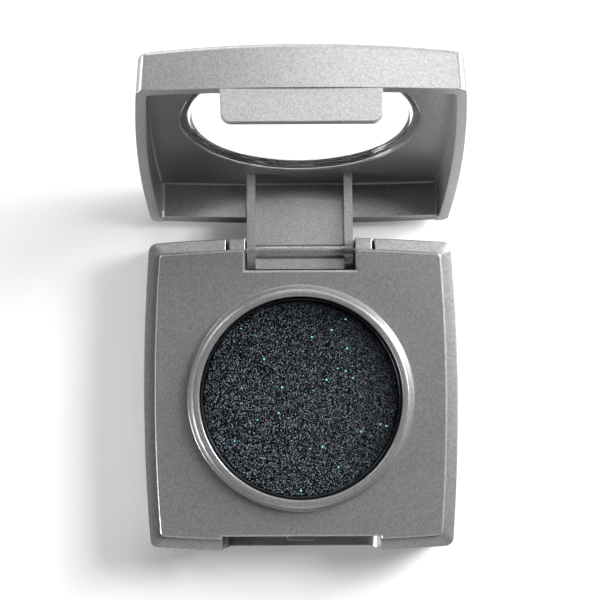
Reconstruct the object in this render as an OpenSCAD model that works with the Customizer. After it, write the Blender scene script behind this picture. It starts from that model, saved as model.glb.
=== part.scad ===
// Square single-shade eyeshadow compact with a windowed flap lid.
// Millimetres. Origin at the centre of the underside, X to the right,
// Y to the back (hinge side), Z up. The lid is drawn shut and then swung open.

/* [Case outline] */
// Widest size across the bowed sides
case_w = 40; // [38:0.5:44]
// How far the middle of each side stands out beyond its ends
side_bow = 0.85; // [0.6:0.05:1.2]
// Radius of the four upright corners
corner_r = 0.9; // [0.7:0.1:1.4]
// Wall thickness of the base at its ledge
base_wall = 1.45; // [1.3:0.05:1.6]
// Wall thickness of the lid
lid_wall = 1.35; // [1.2:0.05:1.5]

/* [Heights] */
// Height of the ledge that the lid shuts onto
ledge_z = 9.6; // [9.6:0.1:11]
// How far the ledge slopes down to its outer edge
ledge_fall = 0.22; // [0.1:0.02:0.3]
// Floor thickness of the base
floor_t = 1.2; // [1:0.1:1.6]
// Rise of the deck above the ledge
deck_rise = 0.8; // [0.6:0.1:1]
// Thickness of the deck plate
deck_t = 1.25; // [1.1:0.05:1.3]
// Clear depth inside the lid, from its rim to its ceiling
lid_depth = 5.0; // [4.6:0.1:5.2]
// Outer height of the lid at the middle of each side
lid_h = 6.1; // [6:0.05:6.2]
// Extra height of the crowned lid at its centre
crown_rise = 1.2; // [0.8:0.1:1.4]
// Seam left between ledge and lid
seam_gap = 0.1; // [0.1:0.05:0.2]

/* [Pan and collar] */
// Outer diameter of the metal pan
pan_d = 25.4; // [24:0.2:25.6]
// Height of the metal pan
pan_h = 3.6; // [3:0.1:4]
// Sheet thickness of the metal pan
pan_t = 0.25; // [0.2:0.05:0.4]
// Offset of the pan towards the front
pan_shift = 0.45; // [0.2:0.05:0.8]
// Height of the collar above the deck
collar_h = 1.7; // [1.2:0.1:2.2]
// Width of the flat top of the collar
collar_top = 0.8; // [0.6:0.1:1]
// Radius of the collar's round outer shoulder
collar_round = 0.65; // [0.4:0.05:0.8]

/* [Window] */
// Diameter of the window through the lid
window_d = 28; // [26:0.5:29]
// Width of the rebate that holds the lens
rebate_w = 0.85; // [0.6:0.05:0.9]

/* [Hinge] */
// Angle that the lid stands open
open_angle = 110; // [90:1:110]
// Distance of the pin axis in from the back of the case
pin_inset = 1.6; // [1.6:0.05:1.8]
// Depth of the pin axis below the ledge
pin_drop = 4.5; // [4.4:0.05:4.6]
// Diameter of the steel pin
pin_d = 1.0; // [0.8:0.05:1.1]
// Length of the steel pin
pin_len = 17.2; // [16.8:0.1:17.6]
// Outer diameter of the barrel around the pin
barrel_d = 1.74; // [1.6:0.02:1.9]
// Half width of the hinge notch in the base
notch_half = 7.0; // [6.6:0.1:7.4]
// Thickness of each hinge ear
ear_t = 1.1; // [0.9:0.1:1.3]
// Radius of the round end of the ears
ear_r = 2.4; // [2.3:0.05:2.5]
// Width of each springy cheek that carries the pin
cheek_w = 2.1; // [1.9:0.1:2.3]

/* [Latch] */
// Width of the latch tab at its root
tab_w = 19; // [16:0.5:20]
// Length of the latch tab below the lid rim
tab_len = 4.1; // [3.5:0.1:4.3]
// Thickness of the latch tab
tab_t = 0.9; // [0.8:0.05:1]
// Width of the catch in the latch slot
catch_w = 3.5; // [2.5:0.5:5]

/* [Hidden] */
$fn = 96;
// Thin slice or small overlap used where shapes join
eps = 0.01;
// Larger than any part of the case, for cuts that run out of it
far = 60;
shell_grey = [0.58, 0.58, 0.58];

half_w = case_w / 2;
bow_r = half_w * half_w / (2 * side_bow) + side_bow / 2;
bow_off = bow_r - half_w;
side_steps = 12;
corner_steps = 6;
dome_steps = 10;
hollow_corner_r = corner_r - 0.2;
nested_corner_r = corner_r - 0.3;

// Pin axis, in the plane across the hinge
pin_y = half_w - pin_inset;
pin_z = ledge_z - pin_drop;

// Deck, collar and pan levels
fit_gap = 0.05;
deck_top = ledge_z + deck_rise;
deck_under = deck_top - deck_t;
deck_half = half_w - base_wall - fit_gap;
deck_bevel = 0.25;
pan_y = -pan_shift;
pan_gap = 0.15;
pan_below_collar = 1.2;
well_r = pan_d / 2 + pan_gap;
well_wall = 1.2;
well_step = 0.3;
collar_z = deck_top + collar_h;
pan_rim_z = collar_z - pan_below_collar;
glue_t = 0.2;
glue_r = 6;
well_floor = pan_rim_z - pan_h - glue_t;
powder_below_rim = 0.15;
powder_crown = 0.12;

// Hinge clearances
notch_gap = 0.2;
sweep_gap = 0.3;
pocket_wall = 1.2;
ear_half = notch_half - notch_gap;
ear_front = pin_y - ear_r;
ear_flare = 0.9;
notch_front = ear_front - notch_gap;
pocket_front = notch_front - 0.1;
notch_floor = pin_z - ear_r - sweep_gap;
bore_gap = 0.03;
slit_w = 0.45;
slit_tip_w = 0.25;
slit_floor = 3;
slit_overrun = 1;
ear_upright = 0.5;
ear_bond = 0.2;
flap_bond = 0.4;
flap_inset = 0.02;
flap_inner = half_w - lid_wall;
roll_gap = 0.1;
rim_sweep = sqrt(pin_inset * pin_inset + pin_drop * pin_drop) + roll_gap;
relief_half = half_w - 2.4;

// Latch slot, catch and thumb scoop in the front of the base
slot_half = tab_w / 2 + 0.55;
slot_back = -(half_w - 2.2);
slot_floor = ledge_z - tab_len - 0.2;
slot_r = 1.6;
slot_wall = 1.2;
scoop_depth = 0.6;
scoop_half = slot_half - 0.85;
scoop_slant = 0.9;
catch_tip = slot_back - 0.75;
catch_taper = 0.3;
catch_top = ledge_z - 1.4;
catch_h = 1.0;

// Latch tab on the lid
tab_front = -(half_w - 0.25);
tab_r = 1.0;
tab_taper = 0.2;
tab_root = 0.6;
ridge_r = 0.15;
ridge_half = 2;
ridge_up = 0.5;

// Posts that hold the deck down in the base
post_at = half_w - 4.7;
post_r = 0.8;
boss_r = 1.6;
post_len = 4.5;
post_gap = 0.3;

// Lid and lens levels, drawn shut
rim_z = ledge_z + seam_gap;
ceiling_z = rim_z + lid_depth;
crown_top = rim_z + lid_h + crown_rise;
crown_r = half_w * half_w / (2 * crown_rise) + crown_rise / 2;
window_r = window_d / 2;
rebate_h = 0.75;
lens_gap = 0.05;
lens_in = 0.15;

// Blank label, flush in its pocket under the base
label_r = 12;
label_t = 0.15;
label_gap = 0.2;

// Radius of the side arc of an outline whose half width is w
function arc_r(w) = bow_r - (half_w - w);
// Distance of the corner arc centres from both middle lines
function corner_c(w, r) =
    (sqrt(2 * pow(arc_r(w) - r, 2) - bow_off * bow_off) - bow_off) / 2;
// Half of the angle that each side arc spans
function arc_half(w, r) = atan2(corner_c(w, r), corner_c(w, r) + bow_off);
// The right side and the corner after it
function quarter(w, r) = let (b = arc_half(w, r), c = corner_c(w, r)) concat(
    [for (i = [0 : side_steps]) let (t = -b + 2 * b * i / side_steps)
        [arc_r(w) * cos(t) - bow_off, arc_r(w) * sin(t)]],
    [for (i = [1 : corner_steps - 1]) let (t = b + (90 - 2 * b) * i / corner_steps)
        [c + r * cos(t), c + r * sin(t)]]);
function turned(p, a) = [p[0] * cos(a) - p[1] * sin(a), p[0] * sin(a) + p[1] * cos(a)];
// Closed outline of half width w with four bowed sides
function bowed(w, r) = [for (k = [0 : 3]) for (p = quarter(w, r)) turned(p, 90 * k)];

module slab(w, r, z, h) {
    translate([0, 0, z])
        linear_extrude(height = h)
            polygon(bowed(w, r));
}

// A bar from x0 to x1 whose profile is drawn in (Y, Z)
module across(x0, x1) {
    translate([x0, 0, 0])
        rotate([90, 0, 90])
            linear_extrude(height = x1 - x0)
                children();
}

// A bar from y0 to y1 whose profile is drawn in (X, Z)
module along(y0, y1) {
    translate([0, y1, 0])
        rotate([90, 0, 0])
            linear_extrude(height = y1 - y0)
                children();
}

// Height of a shallow dome of radius r at the distance d from its middle
function dome_drop(d, r) = r - sqrt(r * r - d * d);

// All that lies under a shallow dome, down to z0
module under_dome(top, r, reach, z0) {
    arc = [for (i = [dome_steps : -1 : 0]) let (d = reach * i / dome_steps)
        [d, top - dome_drop(d, r)]];
    rotate_extrude()
        polygon(concat([[0, z0], [reach, z0]], arc));
}

// A box between two opposite corners
module box(a, b) {
    translate(a)
        cube(b - a);
}

// A round bar on the pin axis
module on_pin(r, x0, x1) {
    translate([x0, pin_y, pin_z])
        rotate([0, 90, 0])
            cylinder(r = r, h = x1 - x0);
}

// A round bar upright at the pan centre
module on_pan(r, z0, z1) {
    translate([0, pan_y, z0])
        cylinder(r = r, h = z1 - z0);
}

module both_sides() {
    children();
    mirror([1, 0, 0])
        children();
}

module swung_open() {
    translate([0, pin_y, pin_z])
        rotate([-open_angle, 0, 0])
            translate([0, -pin_y, -pin_z])
                children();
}

module at_posts() {
    for (x = [-post_at, post_at])
        for (y = [-post_at, post_at])
            translate([x, y, 0])
                children();
}

// ---- base ----

// Outer body of the base, with a rounded foot. Each step is a height and how far
// the side lies in at that height.
module base_outer() {
    steps = [[0, 1.0], [0.3, 0.5], [1.1, 0.1], [ledge_z - ledge_fall, 0],
             [ledge_z - eps, base_wall]];
    hull()
        for (s = steps)
            slab(half_w - s[1], corner_r, s[0], eps);
}

// Opening for the latch tab, seen from the front
module slot_profile() {
    inner = slot_half - slot_r;
    translate([-slot_half, slot_floor + slot_r])
        square([2 * slot_half, ledge_z]);
    translate([-inner, slot_floor])
        square([2 * inner, ledge_z]);
    for (s = [-1, 1])
        translate([s * inner, slot_floor + slot_r])
            circle(r = slot_r);
}

// Hollow of the tub, less the hinge pocket, the latch wall and the bosses
module tub_hollow() {
    difference() {
        slab(deck_half + fit_gap, hollow_corner_r, floor_t, ledge_z);
        box([-(notch_half + cheek_w), pocket_front - pocket_wall, 0],
            [notch_half + cheek_w, half_w, deck_under]);
        box([-(slot_half + slot_wall), -half_w, 0],
            [slot_half + slot_wall, slot_back + slot_wall, deck_under]);
        at_posts()
            cylinder(r = boss_r, h = deck_under);
    }
}

module hinge_notch() {
    box([-notch_half, pocket_front, notch_floor], [notch_half, far, far]);
    both_sides()
        on_pin(pin_d / 2 + bore_gap, notch_half - eps, notch_half + cheek_w + slit_w);
}

// Slits that free the cheeks from the back wall
module cheek_slits() {
    edge = notch_half + cheek_w;
    both_sides()
        translate([0, 0, slit_floor])
            linear_extrude(height = far)
                polygon([[edge, deck_half - slit_overrun],
                         [edge + slit_w, deck_half - slit_overrun],
                         [edge + slit_tip_w, half_w + slit_overrun],
                         [edge, half_w + slit_overrun]]);
}

module thumb_scoop() {
    y_in = -(half_w - scoop_depth);
    translate([0, 0, -1])
        linear_extrude(height = far)
            polygon([[-scoop_half, y_in], [scoop_half, y_in],
                     [scoop_half + 2 * scoop_slant, y_in - 2 * scoop_depth],
                     [-scoop_half - 2 * scoop_slant, y_in - 2 * scoop_depth]]);
}

module latch_catch() {
    translate([0, 0, catch_top - catch_h])
        linear_extrude(height = catch_h)
            polygon([[-catch_w / 2, slot_back + eps], [catch_w / 2, slot_back + eps],
                     [catch_w / 2 - catch_taper, catch_tip],
                     [-catch_w / 2 + catch_taper, catch_tip]]);
}

module base_shell() {
    color(shell_grey) {
        difference() {
            base_outer();
            tub_hollow();
            hinge_notch();
            cheek_slits();
            along(-far, slot_back)
                slot_profile();
            thumb_scoop();
            at_posts()
                translate([0, 0, deck_under - post_len - post_gap])
                    cylinder(r = post_r, h = far);
            translate([0, 0, -eps])
                cylinder(r = label_r + label_gap, h = label_t + eps);
        }
        latch_catch();
    }
}

module base_label() {
    color("gainsboro")
        cylinder(r = label_r, h = label_t);
}

// ---- deck, pan and powder ----

// Plate that fills the top of the tub, with a bevelled edge
module deck_plate() {
    hull() {
        slab(deck_half, nested_corner_r, deck_under, deck_t - deck_bevel);
        slab(deck_half - deck_bevel, nested_corner_r, deck_top - eps, eps);
    }
}

// Collar above the deck and well below it, turned about the pan axis
module collar_and_well() {
    outer_r = well_r + well_wall;
    crest_r = well_r + collar_top;
    foot_r = crest_r + collar_round;
    shoulder = [for (a = [0 : 15 : 90])
        [crest_r + collar_round * cos(a), collar_z - collar_round * (1 - sin(a))]];
    translate([0, pan_y, 0])
        rotate_extrude()
            polygon(concat([[0, well_floor - well_wall], [outer_r, well_floor - well_wall],
                            [outer_r, deck_under + pan_gap],
                            [foot_r, deck_under + pan_gap + well_step]],
                           shoulder,
                           [[well_r, collar_z], [well_r, well_floor], [0, well_floor]]));
}

module deck_insert() {
    color(shell_grey) {
        difference() {
            deck_plate();
            on_pan(well_r + pan_gap, 0, far);
            box([-notch_half, notch_front, 0], [notch_half, far, far]);
            along(-far, slot_back)
                slot_profile();
        }
        collar_and_well();
        at_posts()
            translate([0, 0, deck_under - post_len])
                cylinder(r = post_r, h = post_len + eps);
    }
}

module pan_adhesive() {
    color("white")
        on_pan(glue_r, well_floor, well_floor + glue_t);
}

module metal_pan() {
    r = pan_d / 2;
    z0 = well_floor + glue_t;
    color("silver")
        translate([0, pan_y, z0])
            rotate_extrude()
                polygon([[0, 0], [r, 0], [r, pan_h], [r - pan_t, pan_h],
                         [r - pan_t, pan_t], [0, pan_t]]);
}

// Pressed powder, very slightly domed
module powder_cake() {
    r = pan_d / 2 - pan_t;
    z0 = well_floor + glue_t + pan_t;
    z1 = pan_rim_z - powder_below_rim;
    dome_r = r * r / (2 * powder_crown) + powder_crown / 2;
    color([0.06, 0.07, 0.08])
        translate([0, pan_y, 0])
            under_dome(z1, dome_r, r, z0);
}

// ---- lid ----

// Outer body of the lid, crowned on top and rounded at its edge
module lid_outer() {
    steps = [[0, 0], [lid_h - 1.3, 0.2], [lid_h - 0.7, 0.35], [lid_h - 0.3, 0.65],
             [lid_h, 1.1], [lid_h + crown_rise, 1.9]];
    intersection() {
        hull()
            for (s = steps)
                slab(half_w - s[1], corner_r, rim_z + s[0], eps);
        under_dome(crown_top, crown_r, case_w, 0);
    }
}

// Side view of an ear: round about the pin, then up to the ceiling
module ear_profile() {
    top = ceiling_z + ear_bond;
    intersection() {
        union() {
            translate([pin_y, pin_z])
                circle(r = ear_r);
            polygon([[ear_front, pin_z], [ear_front, deck_top + ear_upright],
                     [ear_front - ear_flare, top], [flap_inner + flap_bond, top],
                     [half_w, rim_z], [half_w, pin_z]]);
        }
        translate([0, -far])
            square([half_w, 2 * far]);
    }
}

// The flap is the part of that profile that lies in line with the back wall
module flap_profile() {
    intersection() {
        ear_profile();
        translate([flap_inner, -far])
            square([far, 2 * far]);
    }
}

module hinge_flap() {
    intersection() {
        union() {
            across(-ear_half, ear_half)
                flap_profile();
            both_sides()
                across(ear_half - ear_t, ear_half)
                    ear_profile();
            on_pin(barrel_d / 2, -ear_half + eps, ear_half - eps);
        }
        slab(half_w - flap_inset, corner_r, 0, far);
    }
}

module latch_tab() {
    tip = rim_z - tab_len;
    low = tab_w / 2 - tab_taper - tab_r;
    along(tab_front, tab_front + tab_t) {
        polygon([[-tab_w / 2, rim_z + tab_root], [tab_w / 2, rim_z + tab_root],
                 [low + tab_r, tip + tab_r], [low, tip], [-low, tip],
                 [-low - tab_r, tip + tab_r]]);
        for (s = [-1, 1])
            translate([s * low, tip + tab_r])
                circle(r = tab_r);
    }
    translate([-ridge_half, tab_front + tab_t, tip + ridge_up])
        rotate([0, 90, 0])
            cylinder(r = ridge_r, h = 2 * ridge_half);
}

// Curved relief that lets the back rim roll over the edge of the base
module rim_relief() {
    both_sides()
        intersection() {
            on_pin(rim_sweep, ear_half, relief_half);
            box([0, flap_inner - side_bow, 0], [half_w, far, far]);
        }
}

module lid_shut() {
    difference() {
        union() {
            difference() {
                lid_outer();
                slab(flap_inner, nested_corner_r, 0, ceiling_z);
                rim_relief();
            }
            hinge_flap();
            latch_tab();
        }
        on_pan(window_r, 0, far);
        on_pan(window_r + rebate_w, ceiling_z - eps, ceiling_z + rebate_h);
        on_pin(pin_d / 2, -half_w, half_w);
    }
}

module lid_shell() {
    color(shell_grey)
        swung_open()
            lid_shut();
}

// Clear lens: a flange in the rebate and a plug flush with the crown
module window_lens() {
    z0 = ceiling_z + lens_in;
    z1 = ceiling_z + rebate_h - fit_gap;
    color([0.9, 0.93, 0.95, 0.35])
        swung_open()
            intersection() {
                union() {
                    on_pan(window_r + rebate_w - lens_gap, z0, z1);
                    on_pan(window_r - lens_gap, z0, crown_top);
                }
                under_dome(crown_top - lens_gap, crown_r, case_w, 0);
            }
}

module hinge_pin() {
    color("lightsteelblue")
        on_pin(pin_d / 2, -pin_len / 2, pin_len / 2);
}

base_shell();
deck_insert();
metal_pan();
powder_cake();
pan_adhesive();
base_label();
lid_shell();
window_lens();
hinge_pin();
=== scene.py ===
"""A square single-shade eyeshadow compact, lid open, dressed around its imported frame.

The pieces are modelled in millimetres, with the lid shut, in the frame of the CAD model.
The lid's pieces are then swung open about the hinge pin, and every mesh is set down in metres.
"""

import math
import random

import bmesh
import bpy
from mathutils import Matrix, Vector


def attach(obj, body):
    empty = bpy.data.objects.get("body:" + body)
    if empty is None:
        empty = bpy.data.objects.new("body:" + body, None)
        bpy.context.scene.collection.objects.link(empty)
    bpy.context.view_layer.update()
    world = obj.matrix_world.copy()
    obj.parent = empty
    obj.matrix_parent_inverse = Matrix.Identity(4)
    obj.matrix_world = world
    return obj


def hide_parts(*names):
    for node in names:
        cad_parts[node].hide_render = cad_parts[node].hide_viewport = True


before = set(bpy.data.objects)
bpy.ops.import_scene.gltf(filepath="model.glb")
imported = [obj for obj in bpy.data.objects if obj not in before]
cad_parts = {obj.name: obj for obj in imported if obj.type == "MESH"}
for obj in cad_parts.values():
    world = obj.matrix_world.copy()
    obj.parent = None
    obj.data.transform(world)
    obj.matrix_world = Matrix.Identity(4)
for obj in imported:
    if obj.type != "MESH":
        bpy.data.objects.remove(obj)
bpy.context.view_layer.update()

MM = 0.001

# ---- sizes of the compact, in millimetres ----

CASE_HALF = 20.0        # half the width across the bowed sides
SIDE_R = 235.72         # radius of each bowed side
CORNER_R = 0.9
LEDGE_Z = 9.6           # the lid shuts onto this ledge
LEDGE_FALL = 0.22       # the ledge slopes down to its outer edge
BASE_INNER = 18.6
FLOOR_T = 1.2
WALL_MIDDLE = 19.0      # blocks inside the base run into its walls as far as this
DECK_HALF = 18.58
DECK_UNDER = 9.15
DECK_TOP = 10.4
PIN_Y, PIN_Z = 18.4, 5.1
OPEN_ANGLE = 110

NOTCH_HALF = 7.0
NOTCH_FRONT = 15.7
NOTCH_FLOOR = 2.4
HINGE_BLOCK_FRONT = 14.5
CHEEK_W = 2.1
SLIT_W = 0.45           # frees the cheek beside it
SLIT_TAPER = 0.2
SLIT_FRONT = 17.5
SLIT_FLOOR = 3
PIN_BORE_R = 0.53

SLOT_HALF = 10.05
SLOT_BACK = -17.95
SLOT_FLOOR = 5.3
SLOT_R = 1.6
SLOT_BLOCK_HALF = 11.25
SLOT_BLOCK_BACK = -16.6
SCOOP_Y = -19.52
SCOOP_HALF = 9.2
SCOOP_REACH = 1.2
SCOOP_FLARE = 1.2
CATCH_HALF = 2.0
CATCH_FRONT, CATCH_BACK = -18.6, -17.7
CATCH_LOW, CATCH_TOP = 7.2, 8.5
CATCH_TAPER = 0.87
CATCH_SLOPE = 0.6
RECESS_R = 12.2         # for the label underneath
RECESS_T = 0.15

PAN_Y = -0.45           # centre of the pan, the collar and the window
WELL_R = 12.85
WELL_FLOOR = 7.1
WELL_FLOOR_T = 1.2
WELL_WALL_R = 14.05
SKIRT_LOW, SKIRT_TOP = 9.3, 9.6     # below the deck, the well's wall widens to the collar here
CREST_R = 13.65
SHOULDER = 0.65         # width of the shoulder that falls from the crest to the deck
SHOULDER_FALL = 0.75    # half the height of that shoulder
COLLAR_Z = 12.1
PAN_R = 12.7
PAN_WALL = 0.25
PAN_FLOOR_Z = 7.3
PAN_RIM_Z = 10.9
POWDER_Z = 10.4
POWDER_GAP = 0.02
POWDER_CELLS = 130      # across the grained top
POWDER_GRAIN = (0.025, 0.025, 0.022)
POWDER_EDGE = 0.5       # width of the soft edge
POWDER_FALL = 0.12
FLAKE_COUNT = 26
FLAKE_R = 0.14
FLAKE_T = 0.02
FLAKE_REACH = 11.8
FLAKE_LEAN = 0.7        # in radians

LID_INNER = 18.65
RIM_Z = 9.7
CEILING_Z = 14.7
CROWN_Z = 17.0
CROWN_R = 167.3
CORNER_LIFT = 0.43
WINDOW_R = 14.0
REBATE_R = 14.85
REBATE_TOP = 15.45
LENS_T = 1.0            # the disc; its flange is thicker
LENS_GAP = 0.05
FLANGE_Z = 14.85
FLANGE_INNER = 13.6
DISH_SHARE = 0.96       # width of the disc's underside against its top
EAR_HALF = 6.8
EAR_T = 1.1
EAR_R = 2.4
EAR_SPREAD = 0.9        # the ear widens by this towards the ceiling
BARREL_R = 0.87
RELIEF_R = 4.88
RELIEF_HALF = 17.6
TAB_HALF = 9.5
TAB_FRONT = -19.75
TAB_T = 0.9
TAB_TIP = 5.47
TAB_TAPER = 0.979

# outer faces of the mouldings, each step a height and a half width; the flap is trimmed to LID_WALL
FOOT = [(0, 19.0), (0.12, 19.24), (0.35, 19.5), (0.7, 19.74), (1.2, 19.9)]
LID_SHOULDER = [(14.95, 19.79), (15.3, 19.7), (15.55, 19.52), (15.74, 19.24), (15.86, 18.9)]
LID_WALL = [(0, 19.98), (RIM_Z, 19.98), (14.4, 19.78), (15.3, 19.5)]
# rings that the crown's dome is drawn through; their heights only keep them in order
CROWN_RINGS = [(16.0, 18.4), (16.1, 16.0), (16.2, 12.5), (16.3, 9.0), (16.4, 5.0), (16.5, 0.5)]
CROWN_FROM = 15.9
SHOULDER_FROM = 14

# radii of the rounded edges
BASE_EDGE = 0.16
CATCH_EDGE = 0.15
DECK_EDGE = 0.36
CREST_EDGE = 0.18
COLLAR_FOOT_EDGE = 0.12
PAN_EDGE = 0.1
CEILING_EDGE = 0.3
RIM_EDGE = 0.15
REBATE_EDGE = 0.2
LENS_EDGE = 0.08
TAB_EDGE = 0.16
TAB_CORNER = 1.15
INNER_CORNER = 0.6
TUB_CORNER = 0.7

FAR = 26                # cutting tools reach this far, well past the part
SINK = 0.2              # how deep a joined block sinks into its neighbour
NEAR = 0.01             # heights closer than this count as the same
SIDE_CUTS = 15
CURVE_STEPS = 8
ROUND_STEPS = 96
SHARP = math.radians(18)

# ---- camera, floor and lamps ----

RENDER_PX = 600
FOCAL_PX = 2547         # focal length in pixels of the render
SENSOR = 36
CAMERA_PLACE = (-2.5, 3.94, 333.3)      # in millimetres
CAMERA_TILT, CAMERA_TURN = 1.43, -0.3   # in degrees
CAMERA_SHIFT = 0.0315
FLOOR_HALF = 0.9        # in metres
FLOOR_GLOW = 0.11
WORLD_GLOW = 0.003
LAMP_SIDE = 180         # in millimetres
LAMP_REACH = 500

LAMPS = [
    # name, tilt from overhead and azimuth from the right in degrees, power in watts
    ("right_low_key", 76, 30, 1.95),
    ("right_key", 60, 30, 1.1),
    ("right_high_key", 45, 25, 2.15),
    ("left_low_fill", 82, 200, 2.7),
    ("back_left_low", 76, 140, 0.8),
    ("back_low", 76, 100, 0.5),
    ("back_middle", 60, 78, 0.2),
    ("back_high", 45, 78, 0.19),
    ("back_top", 30, 90, 0.23),
    ("right_top", 25, 50, 0.13),
    ("front_low", 76, 270, 0.2),
    ("front_top", 30, 270, 0.08),
]


# ---- modelling ----

def as_vector(point):
    """The point as a vector, whether it came as one or as three numbers."""
    return point if isinstance(point, Vector) else Vector(point)


def outline(bm, half, corner, z):
    """A flat face with four bowed sides and round corners."""
    bend = 0.5 / (SIDE_R - CASE_HALF + half)
    square = (math.sqrt(1 + 4 * bend * half) - 1) / (2 * bend)
    corners = bmesh.ops.create_grid(bm, x_segments=1, y_segments=1, size=square)["verts"]
    bmesh.ops.bevel(bm, geom=corners, offset=corner, affect="VERTICES",
                    segments=6, profile=0.5, material=-1)
    bmesh.ops.delete(bm, geom=bm.faces[:], context="FACES_ONLY")
    sides = [e for e in bm.edges if e.calc_length() > half]
    bmesh.ops.subdivide_edges(bm, edges=sides, cuts=SIDE_CUTS)
    bow = (half - square) / square
    for v in bm.verts:
        x, y = v.co.x / square, v.co.y / square
        v.co = (v.co.x * (1 + bow * (1 - y * y)), v.co.y * (1 + bow * (1 - x * x)), z)
    return bmesh.ops.contextual_create(bm, geom=bm.edges[:])["faces"][0]


def stacked(sections, corner=CORNER_R):
    """A solid that rises through bowed sections, each a height and a half width."""
    bm = bmesh.new()
    z, half = sections[0]
    top = outline(bm, half, corner, z)
    for next_z, next_half in sections[1:]:
        grown = bmesh.ops.extrude_face_region(bm, geom=[top, *top.edges])["geom"]
        verts = [g for g in grown if isinstance(g, bmesh.types.BMVert)]
        top = next(g for g in grown if isinstance(g, bmesh.types.BMFace))
        share = next_half / half
        bmesh.ops.scale(bm, vec=(share, share, 1), verts=verts)
        bmesh.ops.translate(bm, vec=(0, 0, next_z - z), verts=verts)
        z, half = next_z, next_half
    bmesh.ops.recalc_face_normals(bm, faces=bm.faces[:])
    return bm


def box(low, high):
    """A block between two opposite corners."""
    bm = bmesh.new()
    verts = bmesh.ops.create_cube(bm, size=1)["verts"]
    low, high = as_vector(low), as_vector(high)
    bmesh.ops.scale(bm, vec=high - low, verts=verts)
    bmesh.ops.translate(bm, vec=(low + high) / 2, verts=verts)
    return bm


def rod(radius, start, end, steps=ROUND_STEPS):
    """A round bar from start to end."""
    bm = bmesh.new()
    start, end = as_vector(start), as_vector(end)
    along = end - start
    turn = along.to_track_quat("Z", "Y").to_matrix().to_4x4()
    place = Matrix.Translation((start + end) / 2) @ turn
    bmesh.ops.create_cone(bm, cap_ends=True, segments=steps, radius1=radius,
                          radius2=radius, depth=along.length, matrix=place)
    return bm


def spun(profile, steps=ROUND_STEPS * 2):
    """A solid turned about the pan's axis from a closed profile of radii and heights."""
    bm = bmesh.new()
    verts = [bm.verts.new((r, PAN_Y, z)) for r, z in profile]
    edges = [bm.edges.new(pair) for pair in zip(verts, verts[1:] + verts[:1])
             if pair[0].co.x + pair[1].co.x > 0]
    bmesh.ops.spin(bm, geom=verts + edges, cent=(0, PAN_Y, 0), axis=(0, 0, 1),
                   angle=math.tau, steps=steps, use_merge=True)
    bmesh.ops.remove_doubles(bm, verts=bm.verts[:], dist=1e-4)
    bmesh.ops.recalc_face_normals(bm, faces=bm.faces[:])
    return bm


def shift(bm, offset, where):
    """Moves the vertices that where() picks."""
    bmesh.ops.translate(bm, vec=offset, verts=[v for v in bm.verts if where(v.co)])
    return bm


def rounded(bm, width, where, segments=3):
    """Rounds the sharp edges whose middle where() picks."""
    edges = [e for e in bm.edges if e.is_manifold and e.calc_face_angle(0) > SHARP
             and where((e.verts[0].co + e.verts[1].co) / 2)]
    bmesh.ops.bevel(bm, geom=edges, offset=width, affect="EDGES", segments=segments,
                    profile=0.5, material=-1, clamp_overlap=False)
    return bm


def loose_object(bm):
    """An object for a mesh that a boolean is about to use up."""
    mesh = bpy.data.meshes.new("blank")
    bm.to_mesh(mesh)
    bm.free()
    thing = bpy.data.objects.new("blank", mesh)
    bpy.context.scene.collection.objects.link(thing)
    return thing


def combined(body, tool, operation="DIFFERENCE"):
    """The body after one exact boolean with the tool; both meshes are used up."""
    things = [loose_object(body), loose_object(tool)]
    boolean = things[0].modifiers.new("boolean", "BOOLEAN")
    boolean.operation = operation
    boolean.solver = "EXACT"
    boolean.object = things[1]
    result = bmesh.new()
    result.from_object(things[0], bpy.context.evaluated_depsgraph_get())
    for thing in things:
        bpy.data.meshes.remove(thing.data)
    return result


def both_sides(bm):
    """The mesh with its mirror image across the middle plane."""
    twin = bmesh.ops.duplicate(bm, geom=bm.verts[:] + bm.edges[:] + bm.faces[:])["geom"]
    verts = [g for g in twin if isinstance(g, bmesh.types.BMVert)]
    faces = [g for g in twin if isinstance(g, bmesh.types.BMFace)]
    bmesh.ops.scale(bm, vec=(-1, 1, 1), verts=verts)
    bmesh.ops.reverse_faces(bm, faces=faces)
    return bm


def swing_open(bm):
    """Turns a piece of the lid about the hinge pin, from shut to open."""
    pin = Matrix.Translation((0, PIN_Y, PIN_Z))
    turn = pin @ Matrix.Rotation(-math.radians(OPEN_ANGLE), 4, "X") @ pin.inverted()
    bmesh.ops.transform(bm, matrix=turn, verts=bm.verts[:])
    return bm


def piece(name, bm, finish, body, replaced=None, smooth=SHARP):
    """Sets a finished mesh down in metres, shades it, and hands it to the frame."""
    bmesh.ops.scale(bm, vec=(MM, MM, MM), verts=bm.verts[:])
    for face in bm.faces:
        face.smooth = True
    for edge in bm.edges:
        edge.smooth = edge.is_manifold and edge.calc_face_angle(math.pi) < smooth
    mesh = bpy.data.meshes.new(name)
    bm.to_mesh(mesh)
    bm.free()
    mesh.materials.append(finish)
    thing = bpy.data.objects.new(name, mesh)
    bpy.context.scene.collection.objects.link(thing)
    thing.modifiers.new("flats stay flat", "WEIGHTED_NORMAL").keep_sharp = True
    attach(thing, body)
    if replaced:
        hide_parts(replaced)


# ---- materials ----

def srgb(text):
    """Linear colour from an sRGB hex value."""
    values = [int(text[i:i + 2], 16) / 255 for i in (1, 3, 5)]
    return [v / 12.92 if v <= 0.04045 else ((v + 0.055) / 1.055) ** 2.4 for v in values] + [1]


def add(tree, kind, links=None, **settings):
    """Adds one node; settings name its properties or sockets, links join sockets."""
    node = tree.nodes.new(kind)
    for key, value in settings.items():
        if hasattr(node, key):
            setattr(node, key, value)
        else:
            node.inputs[key.replace("_", " ")].default_value = value
    for key, source in (links or {}).items():
        tree.links.new(source, node.inputs[key])
    return node


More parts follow.
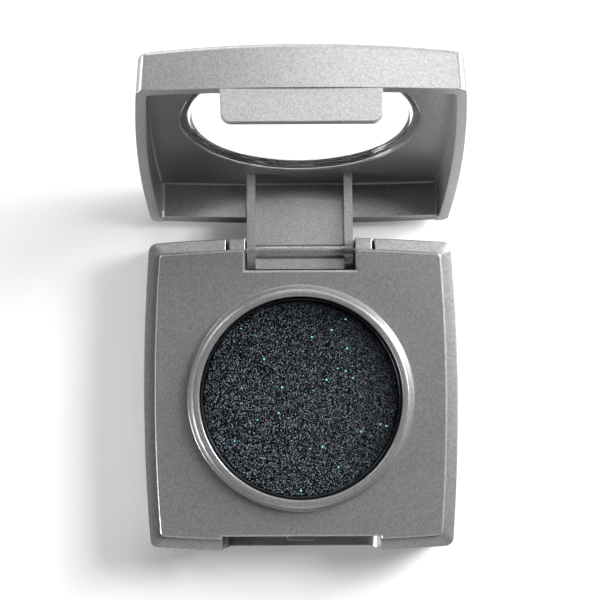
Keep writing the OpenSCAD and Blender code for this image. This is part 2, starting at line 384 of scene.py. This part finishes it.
def material(name, **surface):
    """A material with one Principled surface; returns it, its tree and its shader."""
    made = bpy.data.materials.new(name)
    made.use_nodes = True
    tree = made.node_tree
    tree.nodes.clear()
    shader = add(tree, "ShaderNodeBsdfPrincipled")
    for socket, value in surface.items():
        shader.inputs[socket.replace("_", " ")].default_value = value
    add(tree, "ShaderNodeOutputMaterial", {"Surface": shader.outputs["BSDF"]})
    return made, tree, shader


def silver_moulded_plastic():
    """ABS moulded with fine aluminium flake: a soft satin grey with a faint sparkle."""
    made, tree, shader = material("silver_flake_abs", Metallic=0.65, Roughness=0.3,
                                  IOR=1.54)
    place = add(tree, "ShaderNodeTexCoord").outputs["Object"]
    # flakes are about 0.05 mm; drawn at 0.14 mm so that they show
    flake = add(tree, "ShaderNodeTexVoronoi", {"Vector": place}, Scale=1 / (0.14 * MM))
    tone = add(tree, "ShaderNodeValToRGB", {"Fac": flake.outputs["Color"]})
    tone.color_ramp.elements[0].color = srgb("#8b8b8c")
    tone.color_ramp.elements[1].color = srgb("#b0b0b0")
    tree.links.new(tone.outputs["Color"], shader.inputs["Base Color"])
    grain = add(tree, "ShaderNodeTexNoise", {"Vector": place}, Scale=1 / (0.25 * MM), Detail=3)
    bump = add(tree, "ShaderNodeBump", {"Height": grain.outputs["Fac"]},
               Strength=0.25, Distance=0.01 * MM)
    tree.links.new(bump.outputs["Normal"], shader.inputs["Normal"])
    return made


def clear_lens_plastic():
    """Polished clear polystyrene: colourless, with sharp reflections."""
    made, tree, shader = material("clear_polystyrene", Base_Color=srgb("#fbfcfd"),
                                  Roughness=0.02, IOR=1.49)
    shader.inputs["Transmission Weight"].default_value = 1
    place = add(tree, "ShaderNodeTexCoord").outputs["Object"]
    wave = add(tree, "ShaderNodeTexNoise", {"Vector": place}, Scale=1 / (9 * MM), Detail=1)
    bump = add(tree, "ShaderNodeBump", {"Height": wave.outputs["Fac"]},
               Strength=0.05, Distance=0.05 * MM)
    tree.links.new(bump.outputs["Normal"], shader.inputs["Normal"])
    return made


def tinplate():
    """Thin drawn tinplate in a dark mottled grey, much darker than bare tinplate."""
    made, tree, shader = material("drawn_tinplate", Metallic=1.0, Roughness=0.35)
    place = add(tree, "ShaderNodeTexCoord").outputs["Object"]
    dark_mottle = add(tree, "ShaderNodeTexNoise", {"Vector": place}, Scale=1 / (0.6 * MM), Detail=4)
    tone = add(tree, "ShaderNodeValToRGB", {"Fac": dark_mottle.outputs["Fac"]})
    # a dark grey mottle over the whole pan, darker than bare tinplate
    tone.color_ramp.elements[0].color = srgb("#232427")
    tone.color_ramp.elements[1].color = srgb("#4b4d50")
    tree.links.new(tone.outputs["Color"], shader.inputs["Base Color"])
    return made


def pressed_powder():
    """Pressed charcoal powder: dry and dark, its blue-grey pearl grains lean at all angles."""
    made, tree, shader = material("pressed_charcoal_powder", Metallic=0.9, Roughness=0.5)
    place = add(tree, "ShaderNodeTexCoord").outputs["Object"]
    # pearl grains are about 0.06 mm; drawn at 0.1 mm so that they show
    grain = add(tree, "ShaderNodeTexVoronoi", {"Vector": place}, Scale=1 / (0.1 * MM))
    tone = add(tree, "ShaderNodeValToRGB", {"Fac": grain.outputs["Color"]})
    ramp = tone.color_ramp.elements
    ramp[0].color = srgb("#020203")
    ramp[1].color = srgb("#6e7680")
    middle = ramp.new(0.6)
    middle.color = srgb("#14161a")
    tree.links.new(tone.outputs["Color"], shader.inputs["Base Color"])
    lean = add(tree, "ShaderNodeVectorMath", {0: grain.outputs["Color"]}, operation="MULTIPLY_ADD")
    lean.inputs[1].default_value = (1.8, 1.8, 0)
    lean.inputs[2].default_value = (-0.9, -0.9, 0)
    flat = add(tree, "ShaderNodeNewGeometry").outputs["Normal"]
    leaning = add(tree, "ShaderNodeVectorMath", {0: flat, 1: lean.outputs[0]}, operation="ADD")
    normal = add(tree, "ShaderNodeVectorMath", {0: leaning.outputs[0]}, operation="NORMALIZE")
    tree.links.new(normal.outputs[0], shader.inputs["Normal"])
    return made


def teal_glitter():
    """Metallised film flakes: the teal is their own colour, and the ramp's pale, near-white end is
    a painted glint that shows under any lamp.
    """
    made, tree, shader = material("teal_film_glitter", Metallic=0.2, Roughness=0.25)
    place = add(tree, "ShaderNodeTexCoord").outputs["Object"]
    hue_and_painted_glint = add(tree, "ShaderNodeTexVoronoi", {"Vector": place}, Scale=1 / (1.2 * MM))
    tone = add(tree, "ShaderNodeValToRGB", {"Fac": hue_and_painted_glint.outputs["Color"]})
    # teal is the film's own colour; the light end of this ramp is painted glint, kept mostly matt
    # so it shines under any lamp
    tone.color_ramp.elements[0].color = srgb("#54dcc8")
    tone.color_ramp.elements[1].color = srgb("#b4fff0")
    tree.links.new(tone.outputs["Color"], shader.inputs["Base Color"])
    return made


def polished_steel():
    """Drawn steel wire, bright."""
    made, tree, shader = material("drawn_steel_wire", Metallic=1.0, Roughness=0.2)
    place = add(tree, "ShaderNodeTexCoord").outputs["Object"]
    stretch = add(tree, "ShaderNodeMapping", {"Vector": place}, Scale=(0.05, 1, 1))
    line = add(tree, "ShaderNodeTexNoise", {"Vector": stretch.outputs["Vector"]},
               Scale=1 / (0.05 * MM))
    tone = add(tree, "ShaderNodeValToRGB", {"Fac": line.outputs["Fac"]})
    tone.color_ramp.elements[0].color = srgb("#a9abad")
    tone.color_ramp.elements[1].color = srgb("#c8c9ca")
    tree.links.new(tone.outputs["Color"], shader.inputs["Base Color"])
    return made


def mottled(name, dark, light, grain_mm, roughness):
    """A plain matt finish with a faint mottle."""
    made, tree, shader = material(name, Roughness=roughness)
    place = add(tree, "ShaderNodeTexCoord").outputs["Object"]
    mottle = add(tree, "ShaderNodeTexNoise", {"Vector": place}, Scale=1 / (grain_mm * MM), Detail=4)
    tone = add(tree, "ShaderNodeValToRGB", {"Fac": mottle.outputs["Fac"]})
    tone.color_ramp.elements[0].color = srgb(dark)
    tone.color_ramp.elements[1].color = srgb(light)
    tree.links.new(tone.outputs["Color"], shader.inputs["Base Color"])
    return made


# ---- camera, floor and light ----

def place_camera():
    """A camera nearly straight above the base."""
    data = bpy.data.cameras.new("camera")
    data.sensor_width = SENSOR
    data.lens = SENSOR * FOCAL_PX / RENDER_PX
    data.shift_x = CAMERA_SHIFT
    camera = bpy.data.objects.new("camera", data)
    camera.location = [distance * MM for distance in CAMERA_PLACE]
    camera.rotation_euler = (math.radians(CAMERA_TILT), 0, math.radians(CAMERA_TURN))
    bpy.context.scene.collection.objects.link(camera)
    bpy.context.scene.camera = camera


def softbox(name, tilt, azimuth, power):
    """A square lamp aimed at the compact; tilt is from overhead, azimuth from the right."""
    tilt, azimuth = math.radians(tilt), math.radians(azimuth)
    toward = Vector((math.sin(tilt) * math.cos(azimuth), math.sin(tilt) * math.sin(azimuth),
                     math.cos(tilt)))
    data = bpy.data.lights.new(name, "AREA")
    data.size = LAMP_SIDE * MM
    data.energy = power
    lamp = bpy.data.objects.new(name, data)
    lamp.location = toward * LAMP_REACH * MM
    lamp.rotation_euler = toward.to_track_quat("Z", "Y").to_euler()
    bpy.context.scene.collection.objects.link(lamp)


def lay_floor():
    """White paper that the camera, and the window, see a little brighter than it is lit."""
    made = bpy.data.materials.new("white_paper_sweep")
    made.use_nodes = True
    tree = made.node_tree
    tree.nodes.clear()
    paper = add(tree, "ShaderNodeBsdfDiffuse", Color=srgb("#e9e9e9"))
    ray = add(tree, "ShaderNodeLightPath")
    seen = add(tree, "ShaderNodeMath", {0: ray.outputs["Is Camera Ray"],
                                        1: ray.outputs["Is Transmission Ray"]},
               operation="MAXIMUM")
    lift = add(tree, "ShaderNodeMath", {0: seen.outputs[0]}, operation="MULTIPLY")
    lift.inputs[1].default_value = FLOOR_GLOW
    glow = add(tree, "ShaderNodeEmission", {"Strength": lift.outputs[0]})
    both = add(tree, "ShaderNodeAddShader", {0: paper.outputs[0], 1: glow.outputs[0]})
    add(tree, "ShaderNodeOutputMaterial", {"Surface": both.outputs[0]})
    bm = bmesh.new()
    bmesh.ops.create_grid(bm, x_segments=1, y_segments=1, size=FLOOR_HALF)
    mesh = bpy.data.meshes.new("floor")
    bm.to_mesh(mesh)
    bm.free()
    mesh.materials.append(made)
    floor = bpy.data.objects.new("floor", mesh)
    bpy.context.scene.collection.objects.link(floor)


def set_world():
    """A dark studio, so that the lamps do the lighting."""
    world = bpy.data.worlds.new("studio")
    world.use_nodes = True
    background = world.node_tree.nodes["Background"]
    background.inputs["Color"].default_value = srgb("#ffffff")
    background.inputs["Strength"].default_value = WORLD_GLOW
    bpy.context.scene.world = world
    bpy.context.scene.view_settings.view_transform = "Standard"


# ---- the base ----

def slot_tool():
    """What the latch slot takes out of the front, with round lower corners."""
    tool = box((-SLOT_HALF, -FAR, SLOT_FLOOR), (SLOT_HALF, SLOT_BACK, FAR))
    return rounded(tool, SLOT_R, lambda p: p.z < SLOT_FLOOR + NEAR and abs(p.x) > 1, 8)


def base_tub():
    """The tub, with the hinge's pocket and cheeks behind and the latch's slot in front."""
    body = stacked([*FOOT, (LEDGE_Z - LEDGE_FALL, CASE_HALF), (LEDGE_Z, BASE_INNER + 0.05)])
    body = combined(body, stacked([(FLOOR_T, BASE_INNER), (FAR, BASE_INNER)], TUB_CORNER))
    cheek = NOTCH_HALF + CHEEK_W
    slit_end = cheek + SLIT_W
    hinge_block = box((-cheek, HINGE_BLOCK_FRONT, FLOOR_T - SINK), (cheek, WALL_MIDDLE, DECK_UNDER))
    body = combined(body, hinge_block, "UNION")
    slot_block = box((-SLOT_BLOCK_HALF, -WALL_MIDDLE, FLOOR_T - SINK),
                     (SLOT_BLOCK_HALF, SLOT_BLOCK_BACK, DECK_UNDER))
    body = combined(body, slot_block, "UNION")
    body = combined(body, box((-NOTCH_HALF, NOTCH_FRONT, NOTCH_FLOOR), (NOTCH_HALF, FAR, FAR)))
    slit = shift(box((cheek, SLIT_FRONT, SLIT_FLOOR), (slit_end, CASE_HALF + 1, FAR)),
                 (-SLIT_TAPER, 0, 0), lambda p: p.x > slit_end - NEAR and p.y > CASE_HALF)
    body = combined(body, both_sides(slit))
    body = combined(body, slot_tool())
    scoop = box((-SCOOP_HALF, SCOOP_Y - SCOOP_REACH, -1), (SCOOP_HALF, SCOOP_Y, FAR))
    front = [v for v in scoop.verts if v.co.y < SCOOP_Y - NEAR]
    bmesh.ops.scale(scoop, vec=(SCOOP_FLARE, 1, 1), verts=front)
    body = combined(body, scoop)
    catch = box((-CATCH_HALF, CATCH_FRONT, CATCH_LOW), (CATCH_HALF, CATCH_BACK, CATCH_TOP))
    front = [v for v in catch.verts if v.co.y < CATCH_BACK - NEAR]
    bmesh.ops.scale(catch, vec=(CATCH_TAPER, 1, 1), verts=front)
    shift(catch, (0, 0, -CATCH_SLOPE),
          lambda p: p.z > CATCH_TOP - NEAR and p.y > CATCH_BACK - NEAR)
    rounded(catch, CATCH_EDGE, lambda p: p.z > CATCH_LOW + NEAR and p.y < CATCH_BACK - NEAR)
    body = combined(body, catch, "UNION")
    body = combined(body, rod(PIN_BORE_R, (-slit_end, PIN_Y, PIN_Z), (slit_end, PIN_Y, PIN_Z), 32))
    body = combined(body, rod(RECESS_R, (0, 0, -1), (0, 0, RECESS_T)))
    outside = WALL_MIDDLE - 0.1
    rounded(body, BASE_EDGE,
            lambda p: p.z > LEDGE_Z - 0.3 and max(abs(p.x), abs(p.y)) > outside
            or p.z > 0.5 and p.y < -outside)
    return body


def deck():
    """The plate that fills the tub, with the pan's well and its raised collar."""
    body = stacked([(DECK_UNDER, DECK_HALF), (DECK_TOP, DECK_HALF)], INNER_CORNER)
    body = combined(body, box((-NOTCH_HALF, NOTCH_FRONT + 0.1, 0), (NOTCH_HALF, FAR, FAR)))
    body = combined(body, slot_tool())
    rounded(body, DECK_EDGE, lambda p: p.z > DECK_TOP - NEAR)
    shoulder = [(CREST_R + SHOULDER * u, COLLAR_Z - u * (SHOULDER_FALL + SHOULDER_FALL * u * u))
                for u in (i / CURVE_STEPS for i in range(CURVE_STEPS, -1, -1))]
    collar_foot = shoulder[0][0]
    well_under = WELL_FLOOR - WELL_FLOOR_T
    collar = spun([(0, well_under), (WELL_WALL_R, well_under), (WELL_WALL_R, SKIRT_LOW),
                   (collar_foot, SKIRT_TOP), *shoulder,
                   (WELL_R, COLLAR_Z), (WELL_R, WELL_FLOOR), (0, WELL_FLOOR)])
    rounded(collar, CREST_EDGE, lambda p: p.z > COLLAR_Z - NEAR, 4)
    body = combined(body, rod(WELL_R + 0.1, (0, PAN_Y, 0), (0, PAN_Y, FAR)))
    body = combined(body, collar, "UNION")
    rounded(body, COLLAR_FOOT_EDGE, lambda p: abs(p.z - DECK_TOP) < NEAR
            and abs(math.hypot(p.x, p.y - PAN_Y) - collar_foot) < 0.1)
    return body


def pan():
    """A shallow cup of thin sheet."""
    inner, floor = PAN_R - PAN_WALL, PAN_FLOOR_Z + PAN_WALL
    body = spun([(0, PAN_FLOOR_Z), (PAN_R, PAN_FLOOR_Z), (PAN_R, PAN_RIM_Z),
                 (inner, PAN_RIM_Z), (inner, floor), (0, floor)])
    return rounded(body, PAN_EDGE,
                   lambda p: p.z > PAN_RIM_Z - NEAR or p.z < PAN_FLOOR_Z + NEAR)


def powder():
    """A disc of pressed powder with a grained top and a soft edge."""
    radius = PAN_R - PAN_WALL - POWDER_GAP
    bm = bmesh.new()
    bmesh.ops.create_grid(bm, x_segments=POWDER_CELLS, y_segments=POWDER_CELLS, size=1)
    chance = random.Random(7)
    for v in bm.verts:
        x, y = v.co.x, v.co.y
        v.co.x = x * math.sqrt(1 - y * y / 2) * radius
        v.co.y = y * math.sqrt(1 - x * x / 2) * radius
        edge = max(0, math.hypot(v.co.x, v.co.y) - radius + POWDER_EDGE) / POWDER_EDGE
        v.co.z = POWDER_Z - POWDER_FALL * edge * edge
        if edge < 1:
            v.co += Vector([chance.gauss(0, grain) for grain in POWDER_GRAIN])
        v.co.y += PAN_Y
    side = bmesh.ops.extrude_edge_only(bm, edges=[e for e in bm.edges if e.is_boundary])["geom"]
    for v in (g for g in side if isinstance(g, bmesh.types.BMVert)):
        v.co.z = PAN_FLOOR_Z + PAN_WALL
    bmesh.ops.contextual_create(bm, geom=[g for g in side if isinstance(g, bmesh.types.BMEdge)])
    bmesh.ops.recalc_face_normals(bm, faces=bm.faces[:])
    return bm


def glitter():
    """A few film flakes that lie at all angles on the powder."""
    bm = bmesh.new()
    chance = random.Random(23)
    for _ in range(FLAKE_COUNT):
        reach, angle = FLAKE_REACH * math.sqrt(chance.random()), math.tau * chance.random()
        lean = Matrix.Rotation(chance.uniform(0, FLAKE_LEAN), 4, "X")
        turn = lean @ Matrix.Rotation(angle, 4, "Z")
        spot = (reach * math.cos(angle), PAN_Y + reach * math.sin(angle), POWDER_Z + 0.03)
        bmesh.ops.create_cone(bm, cap_ends=True, segments=6, radius1=FLAKE_R, radius2=FLAKE_R,
                              depth=FLAKE_T, matrix=Matrix.Translation(spot) @ turn)
    return bm


# ---- the lid, drawn shut ----

def hinge_profile(x0, x1, y0):
    """The side view of an ear behind y0, given a width from x0 to x1."""
    bm = bmesh.new()
    front, back, low, high = PIN_Y - EAR_R, PIN_Y + EAR_R, PIN_Z - EAR_R, CEILING_Z + SINK
    points = [(front, low), (back, low), (back, high), (front - EAR_SPREAD, high),
              (front, DECK_TOP + 0.5)]
    verts = [bm.verts.new((x0, y, z)) for y, z in points]
    bm.faces.new(verts)
    bmesh.ops.bevel(bm, geom=verts[:2], offset=EAR_R - 0.001, affect="VERTICES",
                    segments=16, profile=0.5, material=-1)
    bmesh.ops.bisect_plane(bm, geom=bm.verts[:] + bm.edges[:] + bm.faces[:],
                           plane_co=(0, y0, 0), plane_no=(0, -1, 0), clear_outer=True)
    grown = bmesh.ops.extrude_face_region(bm, geom=bm.faces[:])["geom"]
    bmesh.ops.translate(bm, vec=(x1 - x0, 0, 0),
                        verts=[g for g in grown if isinstance(g, bmesh.types.BMVert)])
    bmesh.ops.recalc_face_normals(bm, faces=bm.faces[:])
    return bm


def flap():
    """The hinge flap with its two ears and the barrel around the pin."""
    body = hinge_profile(-EAR_HALF, EAR_HALF, LID_INNER - 0.1)
    ears = both_sides(hinge_profile(EAR_HALF - EAR_T, EAR_HALF, 0))
    body = combined(body, ears, "UNION")
    barrel_end = EAR_HALF - 0.1
    barrel = rod(BARREL_R, (-barrel_end, PIN_Y, PIN_Z), (barrel_end, PIN_Y, PIN_Z), 48)
    body = combined(body, barrel, "UNION")
    return combined(body, stacked(LID_WALL), "INTERSECT")


def latch_tab():
    """The tab that reaches down from the lid's front wall, a little narrower at its tip."""
    body = box((-TAB_HALF, TAB_FRONT, TAB_TIP), (TAB_HALF, TAB_FRONT + TAB_T, RIM_Z + 0.6))
    tip = [v for v in body.verts if v.co.z < TAB_TIP + NEAR]
    bmesh.ops.scale(body, vec=(TAB_TAPER, 1, 1), verts=tip)
    rounded(body, TAB_CORNER, lambda p: p.z < TAB_TIP + NEAR and abs(p.x) > TAB_HALF - 0.5, 8)
    return rounded(body, TAB_EDGE, lambda p: p.z < RIM_Z + 0.5)


def crown_height(x, y):
    """Height of the lid's top: a shallow dome that is a little fuller at its corners."""
    return CROWN_Z - (x * x + y * y) / (2 * CROWN_R) + CORNER_LIFT * (x * y / CASE_HALF ** 2) ** 2


def lid():
    """The lid's shell: a hollow dome with its flap, its tab and the window's opening."""
    body = stacked([(RIM_Z, CASE_HALF), *LID_SHOULDER, *CROWN_RINGS])
    for v in body.verts:
        x, y = abs(v.co.x), abs(v.co.y)
        if v.co.z > CROWN_FROM:
            v.co.z = crown_height(x, y)
        elif v.co.z > SHOULDER_FROM:
            v.co.z -= crown_height(0, max(x, y)) - crown_height(x, y)
    body = combined(body, stacked([(0, LID_INNER), (CEILING_Z, LID_INNER)], INNER_CORNER))
    rounded(body, CEILING_EDGE, lambda p: abs(p.z - CEILING_Z) < NEAR, 4)
    relief = both_sides(rod(RELIEF_R, (EAR_HALF, PIN_Y, PIN_Z), (RELIEF_HALF, PIN_Y, PIN_Z)))
    body = combined(body, relief)
    rounded(body, RIM_EDGE, lambda p: p.z < RIM_Z + NEAR)
    body = combined(body, flap(), "UNION")
    body = combined(body, latch_tab(), "UNION")
    opening = rod(WINDOW_R, (0, PAN_Y, 0), (0, PAN_Y, FAR), ROUND_STEPS * 2)
    body = combined(body, opening)
    rebate = rod(REBATE_R, (0, PAN_Y, CEILING_Z - SINK), (0, PAN_Y, REBATE_TOP), ROUND_STEPS * 2)
    body = combined(body, rebate)
    rounded(body, REBATE_EDGE, lambda p: abs(p.z - CEILING_Z) < NEAR
            and abs(math.hypot(p.x, p.y - PAN_Y) - REBATE_R) < 0.1)
    return swing_open(body)


def lens():
    """A clear disc with a flange that sits in the rebate."""
    step, outer, reach = REBATE_TOP - LENS_GAP, REBATE_R - LENS_GAP, WINDOW_R - LENS_GAP
    profile = [(outer, FLANGE_Z), (outer, step), (reach, step)]
    radii = [i / CURVE_STEPS * reach for i in range(CURVE_STEPS + 1)]
    dome = [(r, CROWN_Z - LENS_GAP - r * r / (2 * CROWN_R)) for r in radii]
    profile += reversed(dome)
    profile += [(r * DISH_SHARE, z - LENS_T) for r, z in dome]
    profile.append((FLANGE_INNER, FLANGE_Z))
    flange = FLANGE_INNER + 0.2
    body = rounded(spun(profile), LENS_EDGE, lambda p: math.hypot(p.x, p.y - PAN_Y) > flange)
    return swing_open(body)


# ---- putting it together ----

place_camera()
set_world()
lay_floor()
for lamp in LAMPS:
    softbox(*lamp)

silver = silver_moulded_plastic()
piece("base_tub", base_tub(), silver, "base", "base_shell")
piece("collared_deck", deck(), silver, "base", "deck_insert")
piece("powder_pan", pan(), tinplate(), "base", "metal_pan")
piece("charcoal_powder", powder(), pressed_powder(), "base", "powder_cake",
      smooth=math.pi)
piece("glitter_flakes", glitter(), teal_glitter(), "base")
piece("windowed_lid", lid(), silver, "lid", "lid_shell")
piece("window", lens(), clear_lens_plastic(), "lid", "window_lens")

carried_over = {
    "hinge_pin": polished_steel(),
    "pan_adhesive": mottled("hot_melt_glue", "#dcd8cc", "#efece2", 1.5, 0.5),
    "base_label": mottled("matt_label_film", "#d2d2d2", "#dedede", 0.4, 0.6),
}
for node, finish in carried_over.items():
    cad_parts[node].data.materials.clear()
    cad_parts[node].data.materials.append(finish)
